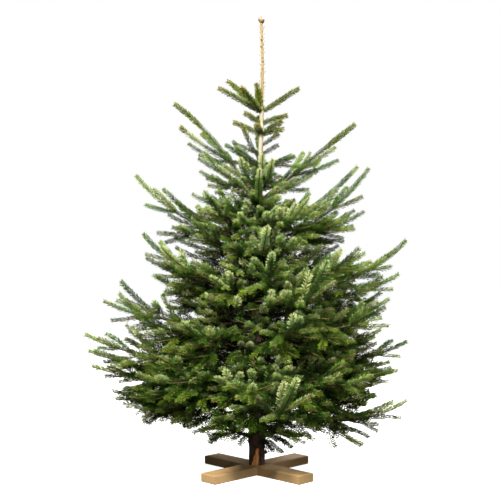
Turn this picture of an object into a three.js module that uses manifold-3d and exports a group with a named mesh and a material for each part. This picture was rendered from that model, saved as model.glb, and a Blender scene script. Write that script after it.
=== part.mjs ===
// A cut fir of about 1.9 m, screwed upright to a plain cross of two half-lapped boards.
// Millimetres, +Z up. The origin is the middle of the cross's flat underside.
//
// The trunk runs whole from its flat cut to the bud at its tip. Limbs leave it in whorls, one whorl a year.
// The lower whorls have bare limbs, each with a mass of needled shoots on its end; higher up the masses start
// at the trunk, and the youngest whorls and the twigs between them stand on collars round it.

import * as THREE from "three";
import { mergeVertices } from "three/addons/utils/BufferGeometryUtils.js";
import Module from "manifold-3d";

const wasm = await Module();
wasm.setup();
const { Manifold, Mesh: SolidMesh } = wasm;

// ------------------------------------------------------------------ sizes

const CLEAR = 0.3; // gap between pieces that touch
const BOARD = { length: 560, width: 84, thick: 36, chamfer: 3 };
// The coach screw that holds the tree down, its head sunk in the upper board, inside the lap.
const SCREW = { radius: 5, length: 80, headRadius: 9.8, headHeight: 7, sunk: 9, socketRadius: 14, sides: 10 };

// The trunk: height above the cut, radius, and how far its middle has wandered to the right and back.
const TRUNK = [
  [0, 34.5, 0, 0],
  [60, 34, 0, 0],
  [110, 36, 0, 0],
  [230, 31, 1, 1],
  [370, 27.5, 2, 2],
  [560, 23.5, 2, 3],
  [758, 20, 4, 2],
  [938, 17, 8, 0],
  [1106, 14, 11, 0],
  [1246, 11.5, 14, 0],
  [1480, 9, 20, 0],
  [1510, 6, 21, 0],
  [1700, 5.2, 24, -3],
  [1856, 4.4, 19, 0],
  [1864, 9, 19, 0],
  [1874, 8, 19, 0],
  [1880, 2, 19, 0],
];
const TRUNK_SIDES = 8;
const SWELL = { height: 14, share: 0.14 }; // the thickening at each whorl
const STUB = { height: 42, radius: 7, length: 8, bearing: -12 }; // a limb cut off near the foot

// The whorls from the top down: height on the trunk, slopes of the limbs where they leave it and at their
// tips, years of growth they carry, how many of those are bare, and their radius at the trunk. `full` sizes
// the sprays, and `turns` are the ways that a third stem at each fork turns. A young whorl stands on a collar
// round the trunk, and the low limbs are bare boughs over the share `bough`. Each limb is a
// [bearing, reach, climb], with bearing 0 to the right, 90 back, 180 left and 270 front.
const WHORLS = [
  {
    name: "top_whorl", height: 1494, slopes: [0.6, 0.55], years: 1, bareYears: 0, radius: 3, full: 0.85,
    turns: [], collar: true,
    limbs: [[190, 180, 92], [236, 150, 78], [160, 152, 132], [95, 138, 104], [350, 156, 88]],
  },
  {
    name: "upper_twigs", height: 1430, slopes: [0.7, 0.4], years: 1, bareYears: 0, radius: 2, full: 0.7,
    turns: [], collar: true,
    limbs: [[200, 72, 46], [345, 108, 36], [95, 84, 40]],
  },
  {
    name: "lower_twigs", height: 1386, slopes: [0.6, 0.35], years: 1, bareYears: 0, radius: 2, full: 0.75,
    turns: [], collar: true,
    limbs: [[172, 114, 56], [20, 98, 30], [322, 106, 50], [256, 74, 34]],
  },
  {
    name: "second_whorl", height: 1246, slopes: [0.5, 0.5], years: 2, bareYears: 0, radius: 4, full: 0.95,
    turns: [], collar: true,
    limbs: [
      [188, 258, 52], [240, 190, 72], [316, 190, 66], [352, 236, 20], [38, 170, 90], [92, 170, 150],
      [140, 190, 110],
    ],
  },
  {
    name: "third", height: 1106, slopes: [0.7, 1.15], years: 3, bareYears: 1, radius: 5.5, full: 0.8,
    turns: [],
    limbs: [
      [178, 358, 412], [222, 300, 190], [272, 262, 170], [3, 404, 328], [48, 292, 226], [122, 280, 230],
    ],
  },
  {
    name: "fourth", height: 938, slopes: [0.35, 0.95], years: 3, bareYears: 1, radius: 6.5, full: 1,
    turns: [-90, 90],
    limbs: [
      [176, 522, 280], [238, 400, 190], [300, 372, 160], [356, 460, 304], [55, 400, 220], [116, 400, 240],
    ],
  },
  {
    name: "fifth", height: 758, slopes: [0.2, 0.95], years: 4, bareYears: 1, radius: 7.5, full: 1.1,
    turns: [90, -90],
    limbs: [
      [172, 494, 212], [222, 500, 150], [276, 480, 130], [318, 520, 150], [5, 634, 184], [92, 530, 190],
    ],
  },
  {
    name: "sixth", height: 560, slopes: [0.15, 0.7], years: 4, bareYears: 1, radius: 8.5, full: 1.15,
    turns: [90, -90],
    limbs: [
      [184, 642, 126], [240, 560, 70], [286, 560, 90], [325, 600, 120], [20, 580, 150], [100, 600, 160],
    ],
  },
  {
    name: "seventh", height: 370, slopes: [0.3, 0.5], years: 5, bareYears: 2, radius: 9, full: 1.2,
    turns: [90, -90], bough: 0.34,
    limbs: [
      [180, 724, 172], [224, 630, 60], [268, 600, 40], [316, 600, 50], [5, 640, 136], [62, 620, 150],
      [122, 620, 130],
    ],
  },
  {
    name: "eighth", height: 212, slopes: [0.35, 0.25], years: 5, bareYears: 2, radius: 9, full: 1.1,
    turns: [90], bough: 0.32,
    limbs: [[200, 600, 90], [250, 480, 14], [302, 480, 4], [358, 630, 62], [70, 590, 60], [140, 590, 70]],
  },
  {
    name: "skirt", height: 96, slopes: [0.6, -0.25], years: 3, bareYears: 1, radius: 8, full: 0.9,
    turns: [],
    limbs: [[212, 320, 30], [312, 250, 20]],
  },
];

// The rule of growth. A stem forks at the end of each year but its last, into a pair of side stems and, on
// the limbs themselves, one more that turns up or down.
const GROWTH = {
  orders: 2, // side stems, and side stems of those
  fork: 50, // degrees between a side stem and its parent where they part
  settle: 0.5, // how much of that angle is left at the side stem's tip
  side: 0.66, // a side stem's length over what is left of its parent
  leaderSide: 0.85, // the same at the last fork, whose three shoots are of one year
  upright: 0.62, // the same for the stem that turns up or down
  shortest: 120, // a side stem under this length isn't grown
  rolls: [28, -20], // degrees that side stems roll out of the fan's plane, in turn
  vary: 0.14, // how far lengths stray
  bow: 0.05, // how far limbs bow sideways, over their reach
};

// A spray of needled shoots: a slim three-edged core, its edges cut into forward-pointing teeth. Main shoots
// are as slim as they grow, and the sprays beside them stand for the small shoots round them too.
const SPRAY = {
  halfWidths: [24, 36, 32], // by order
  height: 0.62, // over the half-width
  notch: 0.4, // how far out the dips between the teeth lie
  sweep: 0.8, // how far the teeth point forward, over the spacing of the rings
  leastTeeth: 2, // a spray has a tooth for each year's growth, and no fewer than this
};
const TWIG = { radius: 2.4, sides: 3, steps: 2 };
const ROOT_SHARE = 0.06; // how far a limb's stem runs on into its first spray, over its length
const BOUGH = { sides: 5, steps: 3, taper: 0.62 };
const COLLAR = { wall: 4, height: 12, sides: 10 };

const BARK = new THREE.MeshStandardMaterial({ color: "#4b3a2e", roughness: 0.9, metalness: 0 });
const LIMB = new THREE.MeshStandardMaterial({ color: "#6d5b45", roughness: 0.85, metalness: 0 });
const NEEDLES = new THREE.MeshStandardMaterial({ color: "#3f6a2f", roughness: 0.55, metalness: 0 });
const TIMBER = new THREE.MeshStandardMaterial({ color: "#cfae7a", roughness: 0.7, metalness: 0 });
const ZINC = new THREE.MeshStandardMaterial({ color: "#b8bcc0", roughness: 0.35, metalness: 1 });

const UP = new THREE.Vector3(0, 0, 1);

// ------------------------------------------------------------------ small tools

const radians = THREE.MathUtils.degToRad;

// A fixed draw between 0 and 1 for each number, and one that strays both ways from 1.
function draw(key) {
  const value = Math.sin(key * 12.9898 + 4.1414) * 43758.5453;
  return value - Math.floor(value);
}
const stray = (key, spread) => 1 + spread * (2 * draw(key) - 1);

// A closed geometry as a solid, and a solid as a named mesh.
function solidOf(geometry) {
  const bare = geometry.clone();
  bare.deleteAttribute("normal");
  bare.deleteAttribute("uv");
  const merged = mergeVertices(bare, 1e-3);
  return new Manifold(new SolidMesh({
    numProp: 3,
    vertProperties: merged.attributes.position.array,
    triVerts: new Uint32Array(merged.index.array),
  }));
}

function meshOf(solid, name, material) {
  const { vertProperties, triVerts } = solid.getMesh();
  const geometry = new THREE.BufferGeometry()
    .setAttribute("position", new THREE.BufferAttribute(new Float32Array(vertProperties), 3))
    .setIndex(new THREE.BufferAttribute(new Uint32Array(triVerts), 1));
  geometry.computeVertexNormals();
  const mesh = new THREE.Mesh(geometry, material);
  mesh.name = name;
  return mesh;
}

// ------------------------------------------------------------------ trunk

// Radius and middle of the trunk at a height above its cut.
function trunkAt(height) {
  const next = Math.max(1, TRUNK.findIndex((row) => row[0] >= height));
  const [low, high] = [TRUNK[next - 1], TRUNK[next]];
  const share = (height - low[0]) / (high[0] - low[0]);
  const [, radius, x, y] = low.map((value, i) => THREE.MathUtils.lerp(value, high[i], share));
  return { radius, x, y };
}

// A stretch of a line, as a line of its own.
function stretch(line, from, to) {
  return {
    getPoint: (share) => line.getPoint(from + share * (to - from)),
    getTangent: (share) => line.getTangent(from + share * (to - from)),
  };
}

// Bends a unit cylinder or cone, which stands along Y, to follow a line. shape(share) gives the sideways and
// upward half-sizes of the section at that share of the line, and how far it slides along the line.
function bend(blank, line, shape) {
  const place = blank.getAttribute("position");
  for (let i = 0; i < place.count; i++) {
    const share = place.getY(i) + 0.5;
    const [x, z] = [place.getX(i), place.getZ(i)];
    const spoke = Math.hypot(x, z) || 1;
    const { wide, deep, slide = 0 } = shape(share);
    const ahead = line.getTangent(share).normalize();
    const side = new THREE.Vector3().crossVectors(ahead, UP).normalize();
    const over = new THREE.Vector3().crossVectors(side, ahead);
    const point = line.getPoint(share)
      .addScaledVector(side, (x / spoke) * wide)
      .addScaledVector(over, (z / spoke) * deep)
      .addScaledVector(ahead, slide);
    place.setXYZ(i, ...point);
  }
  return solidOf(blank);
}

// A round stem along a line, from one radius to another.
function stem(line, fromRadius, toRadius, { sides, steps }) {
  return bend(new THREE.CylinderGeometry(1, 1, 1, sides, steps), line, (share) => {
    const radius = THREE.MathUtils.lerp(fromRadius, toRadius, share);
    return { wide: radius, deep: radius };
  });
}

// The trunk's solid, grown by `extra` all round where something is to be cut clear of it.
function trunkSolid(extra = 0) {
  const swollen = (height) => {
    const off = Math.min(...WHORLS.map((whorl) => Math.abs(whorl.height - height)));
    return trunkAt(height).radius * (1 + SWELL.share * Math.max(0, 1 - off / SWELL.height)) + extra;
  };
  const heights = new Set(TRUNK.map((row) => row[0]));
  for (const whorl of WHORLS) {
    for (const step of [-SWELL.height, 0, SWELL.height]) heights.add(whorl.height + step);
  }
  const ordered = [...heights].sort((a, b) => a - b);
  const top = ordered.at(-1);
  const profile = [new THREE.Vector2(0, -extra)]
    .concat(ordered.map((height) => new THREE.Vector2(swollen(height), height === 0 ? -extra : height)))
    .concat(new THREE.Vector2(0, top + extra));
  const blank = new THREE.LatheGeometry(profile, TRUNK_SIDES).rotateX(Math.PI / 2);
  const place = blank.getAttribute("position");
  for (let i = 0; i < place.count; i++) {
    const { x, y } = trunkAt(THREE.MathUtils.clamp(place.getZ(i), 0, top));
    place.setXYZ(i, place.getX(i) + x, place.getY(i) + y, place.getZ(i));
  }
  return solidOf(blank);
}

// A low limb that was cut off close to the trunk.
function stubSolid() {
  const { radius } = trunkAt(STUB.height);
  const out = new THREE.Vector3(Math.cos(radians(STUB.bearing)), Math.sin(radians(STUB.bearing)), 0.25);
  const root = new THREE.Vector3(0, 0, STUB.height).addScaledVector(out, radius / 2);
  const line = new THREE.LineCurve3(root, root.clone().addScaledVector(out, radius / 2 + STUB.length));
  return stem(line, STUB.radius * 1.2, STUB.radius, { sides: 8, steps: 1 });
}

// ------------------------------------------------------------------ limbs and shoots

// The line of a limb, from the middle of the trunk to its tip.
function limbLine(whorl, [bearing, reach, climb], key) {
  const { x, y } = trunkAt(whorl.height);
  const out = new THREE.Vector3(Math.cos(radians(bearing)), Math.sin(radians(bearing)), 0);
  const aside = new THREE.Vector3(-out.y, out.x, 0);
  const bow = GROWTH.bow * reach * (2 * draw(key) - 1);
  const at = (share, rise, sway = 0) => new THREE.Vector3(x, y, whorl.height + rise)
    .addScaledVector(out, reach * share)
    .addScaledVector(aside, sway);
  const [leave, arrive] = whorl.slopes.map((slope) => (slope * reach) / 3);
  const outer = at(2 / 3, climb - arrive, bow);
  return new THREE.CubicBezierCurve3(at(0, 0), at(1 / 3, leave), outer, at(1, climb));
}

// The line of a side stem, which leaves its parent at the fork's angle and bends forward. Its roll is the
// angle round the parent from the right-hand side of the fan's plane, in degrees.
function sideLine(parent, share, roll, length) {
  const root = parent.getPoint(share);
  const ahead = parent.getTangent(share);
  const right = new THREE.Vector3().crossVectors(ahead, UP).normalize();
  const side = right.clone().applyAxisAngle(ahead, radians(roll));
  const way = (angle) => ahead.clone().multiplyScalar(Math.cos(angle)).addScaledVector(side, Math.sin(angle));
  const knee = root.clone().addScaledVector(way(radians(GROWTH.fork)), length / 2);
  const tip = knee.clone().addScaledVector(way(radians(GROWTH.fork * GROWTH.settle)), length / 2);
  return new THREE.QuadraticBezierCurve3(root, knee, tip);
}

// A stem and all that forks from it beyond its bare years, parents before children.
function growStem(whorl, line, years, bareYears, key, parent = null, order = 0) {
  const length = line.getLength();
  const grown = { line, length, years, bareYears, parent, order, full: whorl.full };
  const all = [grown];
  if (order === GROWTH.orders) return all;
  const tilt = (turn) => GROWTH.rolls[(turn + order) % GROWTH.rolls.length];
  for (let year = Math.max(1, bareYears); year < years; year++) {
    const share = year / years;
    const side = year === years - 1 ? GROWTH.leaderSide : GROWTH.side;
    const children = [[tilt(year), side], [180 - tilt(year + 1), side]];
    if (order === 0 && whorl.turns.length) {
      children.push([whorl.turns[year % whorl.turns.length], GROWTH.upright]);
    }
    children.forEach(([roll, part], i) => {
      const childKey = key * 7.31 + year * 3.7 + i;
      const childLength = length * (1 - share) * part * stray(childKey, GROWTH.vary);
      if (childLength < GROWTH.shortest) return;
      const child = sideLine(line, share, roll, childLength);
      all.push(...growStem(whorl, child, years - year, 0, childKey, grown, order + 1));
    });
  }
  return all;
}

// The toothed spray along a line, whose side stems leave it at the dips between its teeth.
function spray(line, length, years, halfWidth) {
  const rings = 2 * Math.max(SPRAY.leastTeeth, years);
  const ringGap = length / rings;
  const round = Math.cos(Math.PI / 6); // how far out a three-sided ring's two lower corners stand
  return bend(new THREE.ConeGeometry(1, 1, 3, rings), line, (share) => {
    const ring = Math.round(share * rings);
    if (ring === 0) return { wide: TWIG.radius / round, deep: TWIG.radius };
    const full = halfWidth * Math.min(1, 0.45 + 2 * share, 0.6 + 1.2 * (1 - share));
    const part = ring % 2 ? 1 : SPRAY.notch;
    return {
      wide: (full * part) / round,
      deep: full * SPRAY.height * part,
      slide: ring % 2 ? ringGap * SPRAY.sweep : 0,
    };
  });
}

// ------------------------------------------------------------------ stand

// The coach screw upright, its head at the bottom. Its shank is grown by `extra` for the hole it goes in.
function screwSolid(extra = 0) {
  const { radius, length, headRadius, headHeight, sunk, sides } = SCREW;
  const seat = BOARD.thick / 2 + sunk;
  const middleOfHead = seat - CLEAR - headHeight / 2;
  const profile = [
    new THREE.Vector2(0, middleOfHead),
    new THREE.Vector2(radius + extra, middleOfHead),
    new THREE.Vector2(radius + extra, seat + length - 2 * radius),
    new THREE.Vector2(0, seat + length + extra),
  ];
  const shank = new THREE.LatheGeometry(profile, sides).rotateX(Math.PI / 2);
  const head = new THREE.CylinderGeometry(headRadius, headRadius, headHeight, 6).rotateX(Math.PI / 2);
  return solidOf(shank).add(solidOf(head.translate(0, 0, middleOfHead)));
}

// A board of the cross, half lapped on its upper (1) or its lower (-1) side. The upper board takes the screw.
function board(lapSide) {
  const { length, width, thick, chamfer } = BOARD;
  const { socketRadius, sunk, sides } = SCREW;
  const [x, y] = [length / 2 - chamfer, width / 2 - chamfer];
  const outline = new THREE.Shape([[-x, -y], [x, -y], [x, y], [-x, y]].map((at) => new THREE.Vector2(...at)));
  const plank = new THREE.ExtrudeGeometry(outline, {
    depth: thick - 2 * chamfer,
    bevelThickness: chamfer,
    bevelSize: chamfer,
    bevelSegments: 1,
  });
  const lap = new THREE.BoxGeometry(width + 2 * CLEAR, 2 * width, thick);
  lap.translate(0, 0, thick / 2 + lapSide * (thick / 2 - CLEAR / 2));
  const lapped = solidOf(plank.translate(0, 0, chamfer)).subtract(solidOf(lap));
  if (lapSide > 0) return lapped;
  const socket = new THREE.CylinderGeometry(socketRadius, socketRadius, 2 * sunk, sides);
  socket.rotateX(Math.PI / 2).translate(0, 0, thick / 2);
  return lapped.subtract(solidOf(socket)).subtract(screwSolid(CLEAR));
}

// ------------------------------------------------------------------ masses

// Everything grown so far that a new piece has to keep clear of, each with its owner.
const grownSolids = [];

function keep(solid, owner) {
  grownSolids.push({ solid, owner, box: solid.boundingBox() });
  return solid;
}

const boxesApart = (a, b) =>
  [0, 1, 2].some((i) => a.min[i] > b.max[i] + CLEAR || b.min[i] > a.max[i] + CLEAR);

function isClear(solid, owner) {
  const box = solid.boundingBox();
  const least = 0.8 * CLEAR;
  return grownSolids.every((other) =>
    other.owner === owner || boxesApart(box, other.box) || solid.minGap(other.solid, CLEAR) >= least);
}

// A collar round the trunk that a young whorl's shoots stand on.
function collarSolid(whorl) {
  const { radius, x, y } = trunkAt(whorl.height);
  const outer = radius * (1 + SWELL.share) + CLEAR + COLLAR.wall;
  const blank = new THREE.CylinderGeometry(outer, outer, COLLAR.height, COLLAR.sides);
  return solidOf(blank.rotateX(Math.PI / 2).translate(x, y, whorl.height));
}

// The bare first stretch of a limb, from the trunk to where its mass begins.
function boughSolid(whorl, line) {
  return stem(stretch(line, 0, whorl.bough), whorl.radius, whorl.radius * BOUGH.taper, BOUGH);
}

// A mass's own stem, from the trunk or a gap beyond its bough's tip to a little way into its first spray.
function mainStem(whorl, line) {
  const from = whorl.bough ? whorl.bough + CLEAR / line.getLength() : 0;
  const to = Math.max(whorl.bareYears / whorl.years, ROOT_SHARE) + ROOT_SHARE;
  const radius = whorl.bough ? whorl.radius * BOUGH.taper : whorl.radius;
  return stem(stretch(line, from, to), radius, TWIG.radius, TWIG);
}

// The needled part of a stem.
function sprayOf({ line, length, years, bareYears, order, full }) {
  const from = bareYears / years;
  const halfWidth = SPRAY.halfWidths[order] * full;
  return spray(stretch(line, from, 1), length * (1 - from), years - bareYears, halfWidth);
}

// ------------------------------------------------------------------ the tree

const treeFoot = BOARD.thick + CLEAR; // how high the trunk's cut stands
const screwHole = screwSolid(CLEAR).translate([0, 0, -treeFoot]);
const trunk = keep(trunkSolid().add(stubSolid()).subtract(screwHole), "trunk");
const trunkAndGap = trunkSolid(CLEAR).add(stubSolid());

const boughs = [];
const masses = [];
WHORLS.forEach((whorl, level) => {
  const collar = whorl.collar && { name: whorl.name, pieces: [collarSolid(whorl)], stems: [] };
  if (collar) masses.push(collar);
  whorl.limbs.forEach((limb, i) => {
    const key = level * 17 + i * 5 + 1;
    const line = limbLine(whorl, limb, key);
    const mass = collar || { name: `${whorl.name}_foliage_${i + 1}`, pieces: [], stems: [] };
    if (!collar) masses.push(mass);
    mass.pieces.push(mainStem(whorl, line));
    mass.stems.push(...growStem(whorl, line, whorl.years, whorl.bareYears, key));
    if (whorl.bough) {
      const name = `${whorl.name}_bough_${i + 1}`;
      boughs.push({ name, solid: keep(boughSolid(whorl, line).subtract(trunkAndGap), name) });
    }
  });
});

for (const mass of masses) {
  mass.pieces = mass.pieces.map((piece) => piece.subtract(trunkAndGap));
  for (const piece of mass.pieces) {
    if (!isClear(piece, mass)) throw new Error(`a main stem of ${mass.name} touches a neighbour`);
    keep(piece, mass);
  }
}

// Main sprays first on every mass, then those beside them, so that no mass crowds another out. A spray that
// would touch another mass or a bough isn't grown, nor is what forks from it.
for (let order = 0; order <= GROWTH.orders; order++) {
  for (const mass of masses) {
    for (const grown of mass.stems.filter((each) => each.order === order)) {
      const piece = sprayOf(grown).subtract(trunkAndGap);
      grown.kept = (!grown.parent || grown.parent.kept) && isClear(piece, mass);
      if (grown.kept) mass.pieces.push(keep(piece, mass));
    }
  }
}

const tree = new THREE.Group();
tree.position.z = treeFoot;
tree.add(meshOf(trunk, "trunk", BARK));
for (const bough of boughs) tree.add(meshOf(bough.solid, bough.name, LIMB));
for (const mass of masses) tree.add(meshOf(Manifold.union(mass.pieces), mass.name, NEEDLES));

// ------------------------------------------------------------------ the whole

const stand = new THREE.Group();
const lowerBoard = meshOf(board(1), "stand_lower_board", TIMBER);
const upperBoard = meshOf(board(-1), "stand_upper_board", TIMBER);
lowerBoard.rotation.z = radians(45);
upperBoard.rotation.z = radians(-45);
stand.add(lowerBoard, upperBoard, meshOf(screwSolid(), "stand_screw", ZINC));

const part = new THREE.Group();
part.add(stand, tree);
export default part;
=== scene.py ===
"""A cut Christmas tree on a cross of boards: bark, boughs, twigs, needles and buds, grown round the frame.

The limbs repeat the frame's whorls. From them the same rule of growth runs on to finer twigs, and every
shoot is clothed in needles."""
import functools
import math

import bpy
import numpy as np
from mathutils import Matrix, Vector, noise


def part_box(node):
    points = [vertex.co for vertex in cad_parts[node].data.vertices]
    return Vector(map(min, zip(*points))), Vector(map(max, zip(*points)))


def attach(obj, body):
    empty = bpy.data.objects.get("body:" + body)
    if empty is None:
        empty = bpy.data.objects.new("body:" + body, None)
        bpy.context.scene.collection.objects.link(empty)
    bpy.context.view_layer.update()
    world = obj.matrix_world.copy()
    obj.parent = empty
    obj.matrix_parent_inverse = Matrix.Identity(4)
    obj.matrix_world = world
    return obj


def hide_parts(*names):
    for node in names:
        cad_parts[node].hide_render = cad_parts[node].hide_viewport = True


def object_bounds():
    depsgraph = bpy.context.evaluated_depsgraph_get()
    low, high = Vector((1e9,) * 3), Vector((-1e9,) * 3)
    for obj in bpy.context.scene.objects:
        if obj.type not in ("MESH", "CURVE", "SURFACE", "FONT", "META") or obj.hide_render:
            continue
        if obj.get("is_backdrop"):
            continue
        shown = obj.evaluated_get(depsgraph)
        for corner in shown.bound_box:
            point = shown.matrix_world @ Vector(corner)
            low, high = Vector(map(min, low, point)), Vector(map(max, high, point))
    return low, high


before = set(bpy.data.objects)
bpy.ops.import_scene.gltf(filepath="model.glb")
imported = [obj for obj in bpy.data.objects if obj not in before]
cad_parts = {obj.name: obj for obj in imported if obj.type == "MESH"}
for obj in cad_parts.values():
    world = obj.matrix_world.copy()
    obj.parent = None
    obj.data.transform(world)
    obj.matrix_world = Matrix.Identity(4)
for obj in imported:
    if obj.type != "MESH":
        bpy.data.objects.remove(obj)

CAD_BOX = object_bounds()
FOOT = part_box("trunk")[0][2]  # how high the trunk's cut stands, in metres

bl_info = {
    "name": "Cut Christmas tree",
    "version": (1, 0, 0),
    "blender": (4, 5, 0),
    "location": "View3D > Sidebar > Cut tree",
    "description": "Grows a cut Christmas tree on a cross stand, piece by piece",
    "category": "Add Mesh",
}

UP = Vector((0, 0, 1))
GOLDEN = (math.sqrt(5) - 1) / 2
MM = 0.001

# ---------------------------------------------------------------- the studio, in metres and watts

# The camera: how far to the left it stands, away and up, its lens, and how far its frame is slid.
CAMERA = {"x": -0.029, "away": 4.2, "height": 0.95, "lens": 71.6, "shift": -0.005}
# Each lamp's name, place, width and power.
LAMPS = (
    ("key", (-0.9, -3.6, 3.4), 0.8, 410),
    ("fill", (2.6, -3.2, 2.4), 1.6, 52),
    ("top", (0.2, 0.2, 4.6), 1.6, 220),
    ("low", (0.5, -3.4, 0.4), 1.2, 12),
    ("back", (1.6, 3.6, 2.6), 1.6, 150),
)
LAMP_COLOUR = (1, 0.97, 0.9)
LAMP_AIM = (0, 0, 0.9)
BACKDROP = {"seen": 1.0, "thrown": 0.025}  # strength of its white, as the camera sees it and as light
FLOOR = {"half": 30, "glow": 0.99}

# ---------------------------------------------------------------- the tree's form, in millimetres

# Height above the cut, radius, and how far the trunk's middle has wandered to the right and back.
TRUNK = (
    (0, 34.5, 0, 0), (60, 34, 0, 0), (110, 36, 0, 0), (230, 31, 1, 1), (370, 27.5, 2, 2), (560, 23.5, 2, 3),
    (758, 20, 4, 2), (938, 17, 8, 0), (1106, 14, 11, 0), (1246, 11.5, 14, 0), (1480, 9, 20, 0),
    (1510, 6, 21, 0), (1700, 5.2, 24, -3), (1856, 4.4, 19, 0), (1880, 3, 19, 0),
)
RINGS = {"step": 5, "sides": 40}
SWELL = {"height": 16, "share": 0.16}  # at each whorl, over the trunk's radius
# The cut-off limb: where it stands, how far from the trunk's middle it starts, and its slope and flare.
STUB = {"height": 42, "bearing": -12, "start": 20, "length": 23, "radius": 7, "slope": 0.25, "flare": 0.25}
# The bark's relief over the trunk's radius, at the tip and how much more at the cut, and its closeness.
RELIEF = {"tip": 0.02, "cut": 0.055, "upright": 0.4, "scales": 95, "lumps": 30}
# Bare wood at the foot's front: its top, its middle and half width at the cut, how much these change over
# its height, and its depth.
SCAR = {"top": 74, "middle": -8, "lean": 11, "half": 14.5, "narrowing": 8.5, "depth": 1.6}
LEADER_FROM = 1510  # above this height the trunk is this year's leader
# Heights of the buds on the leader, its tip's cluster first.
LEADER_BUDS = (1862, 1862, 1864, 1862, 1866, 1860, 1784, 1778, 1764, 1756, 1698, 1692, 1640, 1604, 1560)
TIP_BUDS_FROM = 1800

# The whorls from the top down. Each has its height, its limbs' slopes at the trunk and at their tips, their
# years of growth and how many of those are bare, their radius at the trunk, the turns of a third stem at each
# fork, and the limbs. A limb is (bearing, reach, climb), with two slopes of its own where it differs. Bearing
# 0 is right, 90 back, 180 left and 270 front.
WHORLS = (
    (1482, (0.6, 0.55), 1, 0, 3, (),
     ((190, 180, 98), (236, 150, 84), (160, 152, 140), (95, 138, 112), (350, 156, 96))),
    (1430, (0.7, 0.4), 1, 0, 2, (), ((200, 72, 46), (345, 108, 36), (95, 84, 40))),
    (1386, (0.6, 0.35), 1, 0, 2, (), ((172, 114, 56), (20, 98, 30), (322, 106, 50), (256, 74, 34))),
    (1246, (0.5, 0.5), 2, 0, 4, (),
     ((188, 258, 52), (240, 190, 72), (316, 190, 38), (352, 236, 20), (38, 170, 64), (92, 170, 150),
      (140, 190, 110))),
    (1106, (0.7, 1.15), 3, 1, 5.5, (),
     ((178, 358, 412, 1.45, 0.65), (222, 300, 190), (272, 262, 170), (3, 404, 328, 0.82, 0.8),
      (48, 292, 226), (122, 280, 230))),
    (938, (0.35, 0.95), 3, 1, 6.5, (),
     ((176, 522, 280, 0.14, 1.16), (238, 400, 190), (300, 372, 160), (356, 460, 304, 0.1, 1.35),
      (55, 400, 220), (116, 400, 240))),
    (758, (0.2, 0.95), 4, 1, 7.5, (90, -90),
     ((172, 494, 212, 0.05, 1.15), (222, 500, 150), (276, 480, 130), (318, 520, 150),
      (5, 634, 184, 0.2, 1.15), (92, 530, 190))),
    (560, (0.15, 0.7), 4, 1, 8.5, (90, -90),
     ((184, 642, 126, 0.35, 0.55), (240, 560, 70), (286, 560, 90), (325, 600, 120), (20, 580, 150),
      (100, 600, 160))),
    (370, (0.3, 0.5), 5, 2, 9, (90, -90),
     ((180, 724, 172), (224, 630, 60), (268, 600, 40), (316, 600, 50), (5, 640, 136), (62, 620, 150),
      (122, 620, 130))),
    (212, (0.35, 0.25), 5, 2, 9, (90,),
     ((200, 600, 90, 0.4, 0.1), (250, 480, 50), (302, 480, 46), (358, 630, 54, -0.05, 0.6), (70, 590, 60),
      (140, 590, 70))),
    (96, (0.6, -0.25), 2, 0, 8, (), ((212, 300, 62), (312, 240, 52))),
)
# Lesser limbs that stand on the trunk between the whorls: how many between two whorls, their reach over that
# of the whorl below, their climb over their reach, their slopes, years and radius, and between which whorls.
BETWEEN = {
    "count": 10, "reach": 0.62, "lift": 0.32, "slopes": (0.3, 0.5), "years": 4, "radius": 4,
    "highest_whorl": 5, "lowest_whorl": 10,
}
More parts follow.
